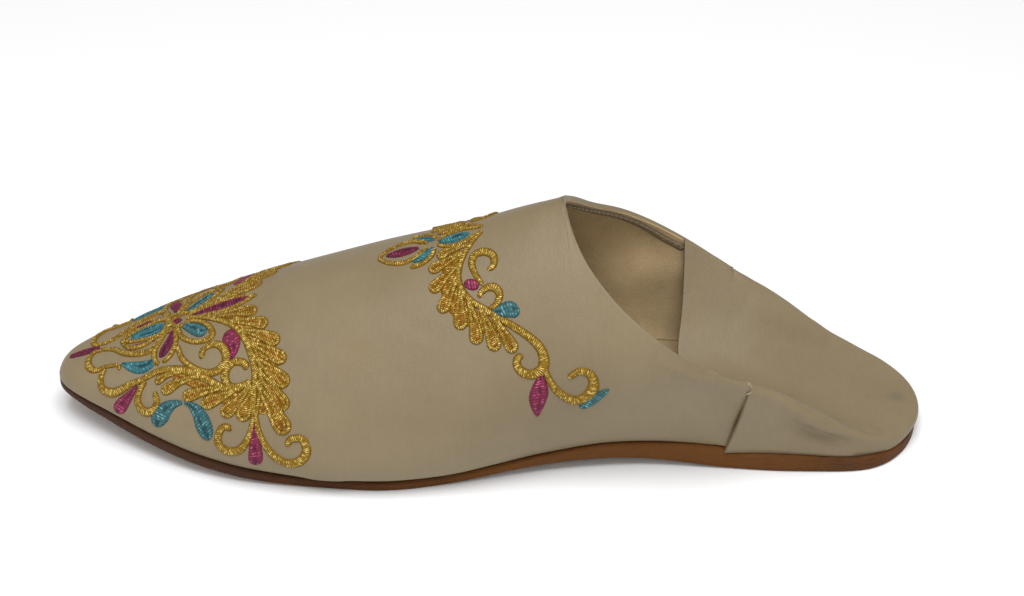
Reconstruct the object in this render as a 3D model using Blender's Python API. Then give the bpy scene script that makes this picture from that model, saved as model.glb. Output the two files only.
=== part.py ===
"""Babouche slipper: a flat leather sole, an insole, a hollow vamp with a pointed throat, and a heel
quarter that is trodden down into a low wall, a fold and an inner flap.

Sizes are in millimetres. A station is the distance from the back of the heel towards the toe. The toe
points to -Y and the slipper is the same on both sides, so it fits either foot."""

from collections import namedtuple
from math import atan, cos, pi, radians, sin, sqrt

import bmesh
import bpy
from mathutils import Vector
from mathutils.bvhtree import BVHTree

MM = 0.001
HEEL_BACK = 0.2
SOLE_TIP = 268.4
MIDDLE = 133.9
HEEL_RADIUS = 29.0
TOE_ROUND_START = 258.0

GAP = 0.3
VAMP_WALL = 2.0
QUARTER_WALL = 1.6
INSOLE_THICKNESS = 1.2
SOLE_EDGE_ROUND = 0.5
FOOT_INSET = 0.8
INSOLE_INSET = 3.5
INSIDE = (150.0, 0.0, 20.0)

END_TRIM = 0.05
OUTSOLE_RINGS = 48
INSOLE_RINGS = 36
INSOLE_HEEL_TRIM = 0.2
INSOLE_TOE_TRIM = 5.5
INSOLE_END_SHARPNESS = 60
INSOLE_END_HALF_WIDTH = 0.3
INSOLE_EDGE_ROUND = 0.3
RING_CLEARANCE = 1.2
LEAST_RISE = 0.02

THROAT_APEX = 113.4
SEAM_TOP = 57.1
SEAM_LEAN = 5.3
SEAM_FADE_END = 84.0
SEAM_FADE_POWER = 1.5
SEAM_BLEND_ROWS = 3.0
FOOT_SEARCH_STEPS = 30

BINDING_WIDTH = 5.2
BINDING_THICKNESS = 1.1
BINDING_SET_BACK = 0.5
BINDING_COLUMNS = 3
BINDING_GAP = 0.4
BINDING_FIRST_ROW = 4

FOLD_RADIUS = 2.0
FLAP_BOWL = 1.8

VAMP_COLUMNS = 15
WING_ROWS = 15
FOREPART_ROWS = 28
WING_CROWDING = 1.6
TIP_BLUNTNESS = 0.8
SECTION_STEPS = 20

SOLE_COLOUR = (0.19, 0.085, 0.04)
INSOLE_COLOUR = (0.42, 0.32, 0.2)
VAMP_COLOUR = (0.48, 0.4, 0.27)
QUARTER_COLOUR = (0.46, 0.38, 0.25)
SOLE_ROUGHNESS = 0.55
INSOLE_ROUGHNESS = 0.7
UPPER_ROUGHNESS = 0.5
SHARP_ANGLE = 40.0
MERGE_DISTANCE = 0.01
TINY_EDGE = 0.005

SoleRow = namedtuple("SoleRow", "station half_width underside thickness")
SOLE = [
    SoleRow(0.0, 29.5, 0.0, 4.0),
    SoleRow(12.0, 30.2, 0.0, 4.3),
    SoleRow(28.0, 28.8, 0.0, 5.1),
    SoleRow(45.0, 28.9, 0.0, 6.1),
    SoleRow(57.0, 28.2, 0.0, 6.3),
    SoleRow(62.1, 27.9, 0.4, 5.9),
    SoleRow(62.3, 27.9, 0.4, 7.6),
    SoleRow(70.0, 27.6, 1.2, 7.4),
    SoleRow(82.0, 27.3, 2.7, 6.6),
    SoleRow(100.0, 28.9, 4.0, 5.3),
    SoleRow(118.0, 31.7, 3.4, 3.8),
    SoleRow(135.0, 35.4, 1.6, 3.1),
    SoleRow(150.0, 38.5, 0.0, 3.0),
    SoleRow(167.0, 41.3, 0.0, 3.0),
    SoleRow(180.0, 40.4, 0.0, 3.0),
    SoleRow(203.0, 38.8, 1.2, 3.4),
    SoleRow(220.0, 34.8, 3.0, 3.6),
    SoleRow(240.0, 25.0, 5.7, 3.6),
    SoleRow(253.0, 16.3, 7.6, 3.3),
    SoleRow(258.0, 13.0, 8.3, 3.1),
    SoleRow(262.0, 10.6, 8.9, 2.9),
    SoleRow(268.4, 8.8, 9.7, 2.6),
]

# Half-widths of the last at five heights of the upper, as shares of its rise above the sole, and the
# height of its centre line. Behind the throat the centre line is only the shape that the cut runs through.
LastRow = namedtuple("LastRow", "station roll belly side shoulder brow crown")
LAST = [
    LastRow(50.0, 28.0, 29.4, 32.3, 21.0, 11.0, 88.0),
    LastRow(57.0, 28.0, 29.6, 33.2, 21.5, 11.0, 88.0),
    LastRow(75.0, 27.8, 31.6, 36.6, 22.0, 10.5, 88.0),
    LastRow(93.0, 28.9, 33.2, 36.8, 20.8, 8.6, 85.5),
    LastRow(105.0, 30.5, 34.1, 36.0, 18.6, 6.9, 82.2),
    LastRow(113.4, 32.3, 35.4, 35.9, 19.8, 7.2, 79.2),
    LastRow(126.0, 35.4, 38.3, 37.0, 22.0, 10.6, 73.2),
    LastRow(140.6, 39.6, 41.6, 38.6, 23.4, 12.8, 66.4),
    LastRow(151.4, 41.6, 43.4, 39.6, 25.0, 14.0, 62.3),
    LastRow(166.0, 43.8, 44.9, 40.2, 26.0, 14.6, 57.4),
    LastRow(184.0, 43.2, 44.2, 39.6, 26.0, 14.7, 50.8),
    LastRow(203.0, 40.4, 41.4, 37.0, 24.8, 14.5, 43.7),
    LastRow(218.0, 36.2, 36.9, 33.0, 22.8, 13.9, 37.7),
    LastRow(230.7, 30.4, 30.9, 27.9, 20.1, 12.5, 32.5),
    LastRow(243.0, 23.6, 24.0, 22.2, 17.2, 11.2, 26.9),
    LastRow(254.7, 15.9, 16.5, 15.8, 13.4, 9.3, 22.2),
    LastRow(262.0, 11.3, 12.0, 11.6, 9.9, 7.0, 20.1),
    LastRow(268.4, 9.4, 10.2, 10.0, 8.6, 6.2, 19.7),
]
QUARTER_STEP = SOLE[5].station
VAMP_STEP = SOLE[6].station
STEP_EASE = 14.0

ROLL_RISE = 1.8
BELLY_SHARE = 0.14
SIDE_SHARE = 0.45
SHOULDER_SHARE = 0.80
BROW_SHARE = 0.94

EdgeRow = namedtuple("EdgeRow", "station height")
TOPLINE = [
    EdgeRow(50.0, 31.0),
    EdgeRow(57.0, 34.4),
    EdgeRow(66.0, 39.2),
    EdgeRow(75.0, 44.5),
    EdgeRow(84.0, 50.6),
    EdgeRow(93.0, 56.8),
    EdgeRow(99.0, 60.9),
    EdgeRow(105.0, 66.2),
    EdgeRow(109.0, 71.2),
    EdgeRow(112.0, 76.0),
    EdgeRow(113.4, 79.2),
]

# The fold of the heel quarter from its front end under the wing round to the back of the heel: the
# widest point, the top of the fold, and the point on the centre line that the flap falls to.
FoldRow = namedtuple("FoldRow", "station half_width top spine_station spine_height")
FOLD = [
    FoldRow(72.8, 35.2, 41.6, 73.6, 15.2),
    FoldRow(66.0, 34.3, 38.0, 67.0, 14.4),
    FoldRow(60.5, 33.1, 35.2, 61.8, 13.6),
    FoldRow(56.6, 32.2, 33.7, 58.2, 13.0),
    FoldRow(49.0, 30.2, 29.4, 52.0, 12.2),
    FoldRow(40.0, 29.0, 23.1, 46.0, 11.2),
    FoldRow(31.0, 28.3, 17.7, 40.5, 10.3),
    FoldRow(22.0, 27.0, 13.2, 35.0, 9.6),
    FoldRow(14.0, 24.3, 10.0, 30.5, 9.1),
    FoldRow(8.0, 20.3, 8.7, 27.0, 8.9),
    FoldRow(3.2, 14.0, 8.3, 24.0, 8.8),
    FoldRow(0.4, 7.4, 8.2, 22.2, 8.8),
    FoldRow(-0.6, 0.0, 8.2, 21.6, 8.8),
]
SEAM_FOLD_ROW = 3
FRONT_COLUMNS = 5
HEEL_COLUMNS = 18
WALL_STEPS = 3
FOLD_STEPS = 4
FLAP_STEPS = 9


def read(rows, column, station):
    """One column of a table at a station: a cubic that never overshoots its rows, so flats stay flat."""
    x = [row.station for row in rows]
    y = [getattr(row, column) for row in rows]
    if station <= x[0]:
        return y[0]
    if station >= x[-1]:
        return y[-1]
    slopes = [(y[i + 1] - y[i]) / (x[i + 1] - x[i]) for i in range(len(x) - 1)]
    i = next(n for n in range(len(slopes)) if station <= x[n + 1])

    def tangent(n):
        if n == 0 or n == len(x) - 1:
            return slopes[min(n, len(slopes) - 1)]
        before, after = slopes[n - 1], slopes[n]
        return 0.0 if before * after <= 0 else 2 * before * after / (before + after)

    width = x[i + 1] - x[i]
    t = (station - x[i]) / width
    start, end = tangent(i) * width, tangent(i + 1) * width
    return (
        y[i] * (2 * t**3 - 3 * t**2 + 1)
        + start * (t**3 - 2 * t**2 + t)
        + y[i + 1] * (3 * t**2 - 2 * t**3)
        + end * (t**3 - t**2)
    )


def roundness(station):
    """1 along the sole, falling to 0 at the heel's back and at the toe's tip as a quarter circle does."""
    heel_end = HEEL_BACK + HEEL_RADIUS
    if station < heel_end:
        return sqrt(max(0.0, 1 - ((heel_end - station) / HEEL_RADIUS) ** 2))
    if station > TOE_ROUND_START:
        reach = (station - TOE_ROUND_START) / (SOLE_TIP - TOE_ROUND_START)
        return sqrt(max(0.0, 1 - reach**2))
    return 1.0


def sole_half_width(station):
    return read(SOLE, "half_width", station) * roundness(station)


def sole_top(station):
    return read(SOLE, "underside", station) + read(SOLE, "thickness", station)


def place(station, across, height):
    """A point in metres in the slipper's frame, with the origin under the middle of the sole."""
    return Vector((across * MM, (MIDDLE - station) * MM, height * MM))


def curve_through(points, steps):
    """Points along a centripetal Catmull-Rom curve from the second given point to the last but one."""
    curve = []
    for a, b, c, d in zip(points, points[1:], points[2:], points[3:]):
        ab = max(sqrt((b - a).length), 1e-6)
        bc = max(sqrt((c - b).length), 1e-6)
        cd = max(sqrt((d - c).length), 1e-6)
        leave = (b - a) / ab - (c - a) / (ab + bc) + (c - b) / bc
        arrive = (c - b) / bc - (d - b) / (bc + cd) + (d - c) / cd
        leave *= bc
        arrive *= bc
        for n in range(steps):
            t = n / steps
            curve.append(
                b * (2 * t**3 - 3 * t**2 + 1)
                + leave * (t**3 - 2 * t**2 + t)
                + c * (3 * t**2 - 2 * t**3)
                + arrive * (t**3 - t**2)
            )
    curve.append(points[-2])
    return curve


def last_section(station):
    """The last's outline at one station, from its foot on the sole to its centre line."""
    tip = roundness(station) if station > TOE_ROUND_START else 1.0
    base = sole_top(station) + GAP
    rise = max((read(LAST, "crown", station) - base) * tip**TIP_BLUNTNESS, LEAST_RISE)
    crown = Vector((0.0, base + rise))

    def at(column, height):
        return Vector((read(LAST, column, station) * tip, height))

    foot_width = max(sole_half_width(station) - FOOT_INSET * tip, 0.0)
    foot = Vector((foot_width, base))
    roll = at("roll", base + min(ROLL_RISE, rise * BELLY_SHARE * 0.5))
    belly = at("belly", base + rise * BELLY_SHARE)
    side = at("side", base + rise * SIDE_SHARE)
    shoulder = at("shoulder", base + rise * SHOULDER_SHARE)
    brow = at("brow", base + rise * BROW_SHARE)
    before = foot * 2 - roll
    after = Vector((-brow.x, brow.y))
    return curve_through([before, foot, roll, belly, side, shoulder, brow, crown, after], SECTION_STEPS)


def lengths_along(points):
    total = [0.0]
    for a, b in zip(points, points[1:]):
        total.append(total[-1] + (b - a).length)
    return total


def point_at(points, totals, length):
    for i in range(len(points) - 1):
        if totals[i + 1] >= length or i == len(points) - 2:
            span = totals[i + 1] - totals[i]
            t = 0.0 if span < 1e-9 else (length - totals[i]) / span
            return points[i].lerp(points[i + 1], min(max(t, 0.0), 1.0))
    return points[-1]


def length_to_topline(points, totals, station):
    """How far up the section the throat is cut."""
    if station >= THROAT_APEX:
        return totals[-1]
    height = read(TOPLINE, "height", station)
    for i in range(len(points) - 1):
        low, high = points[i].y, points[i + 1].y
        if low <= height <= high and high > low:
            return totals[i] + (totals[i + 1] - totals[i]) * (height - low) / (high - low)
    return totals[-1]


def vamp_point(station, share):
    """A point on the vamp's outside, share being 0 at the sole and 1 at the throat or centre line."""
    points = last_section(station)
    totals = lengths_along(points)
    return point_at(points, totals, share * length_to_topline(points, totals, station))


def new_object(name, mesh, colour, roughness_value):
    shape = bpy.data.objects.new(name, mesh)
    bpy.context.collection.objects.link(shape)
    material = bpy.data.materials.new(name + "_leather")
    material.use_nodes = True
    shader = material.node_tree.nodes["Principled BSDF"]
    shader.inputs["Base Color"].default_value = (*colour, 1.0)
    shader.inputs["Roughness"].default_value = roughness_value
    shader.inputs["Metallic"].default_value = 0.0
    mesh.materials.append(material)
    mesh.shade_smooth()
    mesh.set_sharp_from_angle(angle=radians(SHARP_ANGLE))
    return shape


def mesh_from(name, build):
    mesh = bpy.data.meshes.new(name)
    build_mesh = bmesh.new()
    build(build_mesh)
    bmesh.ops.remove_doubles(build_mesh, verts=build_mesh.verts, dist=MERGE_DISTANCE * MM)
    bmesh.ops.dissolve_degenerate(build_mesh, edges=build_mesh.edges, dist=TINY_EDGE * MM)
    bmesh.ops.recalc_face_normals(build_mesh, faces=build_mesh.faces)
    build_mesh.to_mesh(mesh)
    build_mesh.free()
    return mesh


def thicken(shape, wall):
    """Leather of one thickness, added on the inner side of the modelled outside."""
    solidify = shape.modifiers.new("wall", "SOLIDIFY")
    solidify.thickness = wall * MM
    solidify.offset = -1.0
    solidify.use_even_offset = True
    solidify.use_rim = True


def face_outward(mesh, inside):
    """Turn an open sheet's faces away from a point that lies on its inner side."""
    face = max(mesh.polygons, key=lambda polygon: (polygon.center - inside).length)
    if face.normal.dot(face.center - inside) < 0:
        mesh.flip_normals()


def add_face(target, corners):
    different = list(dict.fromkeys(corners))
    if len(different) > 2:
        target.faces.new(different)


def bar_along_stations(target, stations, half_width, underside, top, edge_round):
    """A flat piece with rounded edges whose width and heights change along its length."""
    rings = []
    for station in stations:
        wide = half_width(station)
        low, high = underside(station), top(station)
        cut = min(edge_round, wide * 0.5)
        side = [
            (wide - cut, low),
            (wide, low + edge_round),
            (wide, high - edge_round),
            (wide - cut, high),
        ]
        ring = side + [(-across, height) for across, height in reversed(side)]
        rings.append([target.verts.new(place(station, across, height)) for across, height in ring])
    for ring, following in zip(rings, rings[1:]):
        for i in range(len(ring)):
            j = (i + 1) % len(ring)
            add_face(target, [ring[i], ring[j], following[j], following[i]])
    target.faces.new(rings[0])
    target.faces.new(rings[-1])


def crowded_stations(first, last, count):
    """Stations spaced as points on half a circle are, close together at both rounded ends."""
    return [first + (last - first) * (1 - cos(pi * n / count)) / 2 for n in range(count + 1)]


def make_outsole():
    extra = [QUARTER_STEP, VAMP_STEP]
    stations = crowded_stations(HEEL_BACK + END_TRIM, SOLE_TIP - END_TRIM, OUTSOLE_RINGS)
    stations = sorted([s for s in stations if all(abs(s - e) > RING_CLEARANCE for e in extra)] + extra)

    def build(target):
        bar_along_stations(
            target,
            stations,
            sole_half_width,
            lambda station: read(SOLE, "underside", station),
            sole_top,
            SOLE_EDGE_ROUND,
        )

    new_object("outsole", mesh_from("outsole", build), SOLE_COLOUR, SOLE_ROUGHNESS)


def make_insole():
    first = HEEL_BACK + INSOLE_INSET + INSOLE_HEEL_TRIM
    stations = crowded_stations(first, SOLE_TIP - INSOLE_TOE_TRIM, INSOLE_RINGS)
    stations = sorted([s for s in stations if abs(s - VAMP_STEP) > RING_CLEARANCE] + [VAMP_STEP])
    middle = (stations[0] + stations[-1]) / 2
    reach = (stations[-1] - stations[0]) / 2

    def underside(station):
        behind = VAMP_STEP - station
        step = sole_top(VAMP_STEP) - sole_top(QUARTER_STEP)
        ease = step * max(0.0, 1 - behind / STEP_EASE) ** 2 if behind > 0 else 0.0
        return sole_top(station) + GAP + ease

    def half_width(station):
        end = abs(station - middle) / reach
        narrowed = (sole_half_width(station) - INSOLE_INSET) * (1 - end**INSOLE_END_SHARPNESS)
        return max(narrowed, INSOLE_END_HALF_WIDTH)

    def build(target):
        bar_along_stations(
            target,
            stations,
            half_width,
            underside,
            lambda station: underside(station) + INSOLE_THICKNESS,
            INSOLE_EDGE_ROUND,
        )

    new_object("insole", mesh_from("insole", build), INSOLE_COLOUR, INSOLE_ROUGHNESS)


def wing_station(row, share):
    """Stations of the wing's rows: upright at the throat's apex, leaning with the side seam behind."""
    t = row / WING_ROWS
    station = SEAM_TOP + (THROAT_APEX - SEAM_TOP) * (1 - (1 - t) ** WING_CROWDING)
    fade = max(0.0, (SEAM_FADE_END - station) / (SEAM_FADE_END - SEAM_TOP))
    return station + SEAM_LEAN * (1 - share) * fade**SEAM_FADE_POWER


def vamp_outside(target):
    """The vamp's outer surface: two wings that join at the apex of the throat and run to the toe."""
    forepart = crowded_stations(THROAT_APEX, SOLE_TIP, FOREPART_ROWS)
    near, far = [], []
    for row in range(WING_ROWS + FOREPART_ROWS + 1):
        near_row, far_row = [], []
        for column in range(VAMP_COLUMNS + 1):
            share = column / VAMP_COLUMNS
            if row < WING_ROWS:
                station = wing_station(row, share)
            else:
                station = forepart[row - WING_ROWS]
            point = vamp_point(station, share)
            on_centre = row >= WING_ROWS and column == VAMP_COLUMNS
            across = 0.0 if on_centre else point.x
            near_row.append(target.verts.new(place(station, across, point.y)))
            far_row.append(near_row[-1] if on_centre else target.verts.new(place(station, -across, point.y)))
        near.append(near_row)
        far.append(far_row)
    for grid in (near, far):
        for row, following in zip(grid, grid[1:]):
            for i in range(VAMP_COLUMNS):
                add_face(target, [row[i], row[i + 1], following[i + 1], following[i]])


def make_vamp():
    mesh = mesh_from("upper_vamp", vamp_outside)
    shape = new_object("upper_vamp", mesh, VAMP_COLOUR, UPPER_ROUGHNESS)
    thicken(shape, VAMP_WALL)


def make_binding():
    """A strip along the inside of the throat, from one corner of the flap over the apex to the other."""
    surface = bmesh.new()
    vamp_outside(surface)
    bmesh.ops.remove_doubles(surface, verts=surface.verts, dist=MERGE_DISTANCE * MM)
    bmesh.ops.recalc_face_normals(surface, faces=surface.faces)
    skin = BVHTree.FromBMesh(surface)
    surface.free()
    inside = place(*INSIDE)

    def outward(normal, spot):
        return normal if normal.dot(spot - inside) > 0 else -normal

    edge = []
    for row in range(BINDING_FIRST_ROW - 1, WING_ROWS + 1):
        station = wing_station(row, 1.0)
        point = vamp_point(station, 1.0)
        edge.append(place(station, point.x if row < WING_ROWS else 0.0, point.y))
    half = []
    for before, point, after in zip(edge, edge[1:], edge[2:] + [edge[-1]]):
        on_centre = after is point
        along = Vector((-1.0, 0.0, 0.0)) if on_centre else (after - before).normalized()
        _, normal, _, _ = skin.find_nearest(point)
        normal = outward(normal, point)
        if on_centre:
            normal = Vector((0.0, normal.y, normal.z)).normalized()
        inward = normal.cross(along).normalized()
        inward = inward if inward.y < 0 else -inward
        strip = []
        for column in range(BINDING_COLUMNS + 1):
            reach = (BINDING_SET_BACK + BINDING_WIDTH * column / BINDING_COLUMNS) * MM
            spot, facing, _, _ = skin.find_nearest(point + inward * reach)
            facing = outward(facing, spot)
            if on_centre:
                upright = Vector((0.0, facing.y, facing.z)).normalized()
                spot.x = 0.0
                facing = upright / facing.dot(upright)
            strip.append(spot - facing * (VAMP_WALL + BINDING_GAP) * MM)
        half.append(strip)
    strips = half + [[Vector((-p.x, p.y, p.z)) for p in strip] for strip in reversed(half[:-1])]

    def build(target):
        rows = [[target.verts.new(spot) for spot in strip] for strip in strips]
        for row, following in zip(rows, rows[1:]):
            for i in range(len(row) - 1):
                add_face(target, [row[i], row[i + 1], following[i + 1], following[i]])

    mesh = mesh_from("topline_binding", build)
    face_outward(mesh, inside)
    shape = new_object("topline_binding", mesh, QUARTER_COLOUR, UPPER_ROUGHNESS)
    thicken(shape, BINDING_THICKNESS)


def fold_place(t):
    """The fold's table read as a curve: t is 0 at its first row and counts its rows."""
    i = min(int(t), len(FOLD) - 2)
    rows = [FOLD[max(i - 1, 0)], FOLD[i], FOLD[i + 1]]
    if i + 2 < len(FOLD):
        rows.append(FOLD[i + 2])
    else:
        rows.append(FOLD[i]._replace(half_width=-FOLD[i].half_width))
    values = []
    for before, start, end, after in zip(*rows):
        f = t - i
        leave, arrive = (end - before) / 2, (after - start) / 2
        values.append(
            start * (2 * f**3 - 3 * f**2 + 1)
            + leave * (f**3 - 2 * f**2 + f)
            + end * (3 * f**2 - 2 * f**3)
            + arrive * (f**3 - f**2)
        )
    return FoldRow(*values)


def quarter_column(t, with_wall):
    """The quarter's outside at one place round the heel, from the sole up, over the fold and down to
    the centre line of the flap. Without its wall it starts at the flap's edge, inside the wing."""
    fold = fold_place(t)
    reach = sqrt(fold.half_width**2 + (fold.station - fold.spine_station) ** 2)
    drop = fold.top - fold.spine_height
    slope = atan(FLAP_BOWL * drop / (reach - FOLD_RADIUS))

    def spot(distance, height, lean=0.0):
        share = distance / reach
        station = fold.spine_station + (fold.station - fold.spine_station) * share + lean
        return place(station, fold.half_width * share, height)

    points = []
    if with_wall:
        low, high = 0.0, 1.0
        for _ in range(FOOT_SEARCH_STEPS):
            share = (low + high) / 2
            station = fold.spine_station + (fold.station - fold.spine_station) * share
            inside = fold.half_width * share < sole_half_width(station) - FOOT_INSET
            inside = inside and station > HEEL_BACK + FOOT_INSET
            low, high = (share, high) if inside else (low, share)
        foot_reach = low * reach
        foot_station = fold.spine_station + (fold.station - fold.spine_station) * low
        seam_share = max(0.0, 1 - (t - SEAM_FOLD_ROW) / SEAM_BLEND_ROWS)
        lean = (SEAM_LEAN - GAP) * seam_share**SEAM_FADE_POWER
        base = sole_top(min(foot_station + lean, QUARTER_STEP)) + GAP
        widest_height = fold.top - FOLD_RADIUS
        for step in range(WALL_STEPS):
            f = step / WALL_STEPS
            bulge = sin(pi / 2 * f)
            height = base + (widest_height - base) * f
            points.append(spot(foot_reach + (reach - foot_reach) * bulge, height, lean * (1 - f)))
    for step in range(FOLD_STEPS + 1):
        if not with_wall and step < FOLD_STEPS:
            continue
        angle = (pi / 2 + slope) * step / FOLD_STEPS
        points.append(
            spot(reach - FOLD_RADIUS * (1 - cos(angle)), fold.top - FOLD_RADIUS * (1 - sin(angle)))
        )
    edge_reach = reach - FOLD_RADIUS * (1 + sin(slope))
    edge_height = fold.top - FOLD_RADIUS * (1 - cos(slope))
    for step in range(1, FLAP_STEPS + 1):
        share = 1 - step / FLAP_STEPS
        height = fold.spine_height + (edge_height - fold.spine_height) * share**FLAP_BOWL
        points.append(spot(edge_reach * share, height))
    return points


def quarter_outside(target):
    """Columns from the flap's front edge round to the back of the heel, then the same mirrored."""
    columns = []
    for n in range(FRONT_COLUMNS):
        columns.append(quarter_column(SEAM_FOLD_ROW * n / FRONT_COLUMNS, False))
    last = len(FOLD) - 1
    for n in range(HEEL_COLUMNS + 1):
        columns.append(quarter_column(SEAM_FOLD_ROW + (last - SEAM_FOLD_ROW) * n / HEEL_COLUMNS, True))
    for side in (1, -1):
        grid = []
        for points in columns:
            grid.append([target.verts.new(Vector((side * p.x, p.y, p.z))) for p in points])
        for column, following in zip(grid, grid[1:]):
            shared = min(len(column), len(following))
            a, b = column[-shared:], following[-shared:]
            for i in range(shared - 1):
                add_face(target, [a[i], a[i + 1], b[i + 1], b[i]])


def make_heel_quarter():
    mesh = mesh_from("upper_heel_quarter", quarter_outside)
    face_outward(mesh, place(*INSIDE))
    shape = new_object("upper_heel_quarter", mesh, QUARTER_COLOUR, UPPER_ROUGHNESS)
    thicken(shape, QUARTER_WALL)


def clear_scene():
    for shape in list(bpy.data.objects):
        bpy.data.objects.remove(shape, do_unlink=True)


clear_scene()
make_outsole()
make_insole()
make_vamp()
make_binding()
make_heel_quarter()
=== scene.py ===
from math import cos, exp, pi, radians, sin, sqrt

import bpy
import numpy as np
from mathutils import Matrix, Vector
from mathutils.bvhtree import BVHTree


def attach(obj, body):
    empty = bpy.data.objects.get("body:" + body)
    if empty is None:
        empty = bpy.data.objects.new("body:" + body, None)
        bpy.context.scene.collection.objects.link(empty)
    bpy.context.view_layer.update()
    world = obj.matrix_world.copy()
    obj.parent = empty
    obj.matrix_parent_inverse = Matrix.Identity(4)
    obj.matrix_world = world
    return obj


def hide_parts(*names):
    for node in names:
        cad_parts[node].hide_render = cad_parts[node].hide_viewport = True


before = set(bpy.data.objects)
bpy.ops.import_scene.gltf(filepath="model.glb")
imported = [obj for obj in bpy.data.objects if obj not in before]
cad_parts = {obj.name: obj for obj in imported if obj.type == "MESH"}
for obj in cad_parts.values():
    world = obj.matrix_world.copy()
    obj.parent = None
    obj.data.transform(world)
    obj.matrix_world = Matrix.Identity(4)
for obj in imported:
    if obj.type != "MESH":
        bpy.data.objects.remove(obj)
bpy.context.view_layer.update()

# The camera stands on the slipper's near side, above it, and looks down over the vamp into the throat.
# It is turned and rolled a little, as in the photograph.
MM = 0.001
PICTURE_WIDTH = 1024
PICTURE_HEIGHT = 596
LOOK_AT = Vector((-64.01, 6.73, 0.0)) * MM
CAMERA_DISTANCE = 717.1 * MM
CAMERA_TILT = radians(33.893)
CAMERA_TURN = radians(0.507)
CAMERA_ROLL = radians(1.119)
SENSOR_WIDTH = 36.0
FOCAL_LENGTH = 73.877

level_right = Vector((sin(CAMERA_TURN), cos(CAMERA_TURN), 0.0))
level_ahead = Vector((-cos(CAMERA_TURN), sin(CAMERA_TURN), 0.0))
looking = level_ahead * cos(CAMERA_TILT) - Vector((0.0, 0.0, sin(CAMERA_TILT)))
level_up = level_right.cross(looking)
camera_right = level_right * cos(CAMERA_ROLL) + level_up * sin(CAMERA_ROLL)
camera_up = level_up * cos(CAMERA_ROLL) - level_right * sin(CAMERA_ROLL)
camera_place = LOOK_AT - looking * CAMERA_DISTANCE
bpy.ops.object.select_all(action="DESELECT")
bpy.ops.object.camera_add()
camera = bpy.context.object
camera.data.sensor_width = SENSOR_WIDTH
camera.data.lens = FOCAL_LENGTH
camera_axes = Matrix((camera_right, camera_up, -looking)).transposed()
camera.matrix_world = Matrix.Translation(camera_place) @ camera_axes.to_4x4()
bpy.context.scene.camera = camera


def sight_line(pixel):
    """The direction from the camera through one pixel of the photograph."""
    focal_pixels = FOCAL_LENGTH / SENSOR_WIDTH * PICTURE_WIDTH
    across = (pixel[0] - PICTURE_WIDTH / 2) / focal_pixels
    down = (pixel[1] - PICTURE_HEIGHT / 2) / focal_pixels
    return (camera_right * across - camera_up * down + looking).normalized()


# The outsole is one piece of brown leather, thin under the forefoot and thicker from the waist to the
# heel. Its edge is cut with a knife and rubbed, darker towards the toe and a little at the heel.
EDGE_BROWN = (0.054, 0.018, 0.0055)
EDGE_ORANGE = (0.14, 0.051, 0.008)
UNDERSIDE_TAN = (0.15, 0.088, 0.045)
TOE_DARKENING = (0.02, -0.1)
HEEL_DARKENING = (0.06, 0.12)
SOLE_CORNER = radians(20)


class Field:
    """A value that varies over a surface: a shader socket that sums, products and other nodes can use."""

    def __init__(self, socket):
        self.socket = socket

    def node(self, kind, output=0, inputs=None, **settings):
        """Send this value, or others given by socket name, into another node and return what comes out."""
        tree = self.socket.id_data
        made = tree.nodes.new(kind)
        for name, value in settings.items():
            setattr(made, name, value)
        for name, value in ({0: self} if inputs is None else inputs).items():
            if isinstance(value, Field):
                tree.links.new(value.socket, made.inputs[name])
            else:
                made.inputs[name].default_value = value
        return Field(made.outputs[output])

    def maths(self, operation, first, second=0.0):
        """One sum, product or other operation on two values."""
        return self.node("ShaderNodeMath", inputs={0: first, 1: second}, operation=operation)

    def __add__(self, other):
        return self.maths("ADD", self, other)

    def __radd__(self, other):
        return self.maths("ADD", other, self)

    def __sub__(self, other):
        return self.maths("SUBTRACT", self, other)

    def __rsub__(self, other):
        return self.maths("SUBTRACT", other, self)

    def __mul__(self, other):
        return self.maths("MULTIPLY", self, other)

    def __rmul__(self, other):
        return self.maths("MULTIPLY", other, self)

    def __truediv__(self, other):
        return self.maths("DIVIDE", self, other)

    def __rtruediv__(self, other):
        return self.maths("DIVIDE", other, self)

    def step(self, low, high):
        """0 where this is below low, 1 above high, and smooth between."""
        inputs = {"Value": self, "From Min": low, "From Max": high}
        return self.node("ShaderNodeMapRange", inputs=inputs, interpolation_type="SMOOTHSTEP", clamp=True)

    def noise(self, scale, detail=2.0, roughness=0.5):
        """Cloudy variation over this vector, scale being patches per metre."""
        inputs = {"Vector": self, "Scale": scale, "Detail": detail, "Roughness": roughness}
        return self.node("ShaderNodeTexNoise", inputs=inputs)

    def stretched(self, along_x, along_y, along_z):
        """This vector with its three directions scaled, for streaks and grain that run one way."""
        return self.node("ShaderNodeMapping", inputs={"Vector": self, "Scale": (along_x, along_y, along_z)})

    def part(self, name):
        """One part of this vector: X, Y or Z."""
        return self.node("ShaderNodeSeparateXYZ", output=name)

    def blend(self, low, high):
        """A colour from low, where this is 0, to high, where it is 1."""
        inputs = {0: self, 6: colour(low), 7: colour(high)}
        return self.node("ShaderNodeMix", output=2, inputs=inputs, data_type="RGBA")


def colour(value):
    """A field as it is, or a plain colour with full alpha."""
    return value if isinstance(value, Field) else (*value, 1.0)


def new_material(name):
    """A material with a plain Principled shader, and the place of each surface point in metres."""
    material = bpy.data.materials.new(name)
    material.use_nodes = True
    shader = material.node_tree.nodes["Principled BSDF"]
    spot = Field(material.node_tree.nodes.new("ShaderNodeTexCoord").outputs["Object"])
    return material, shader, spot


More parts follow.
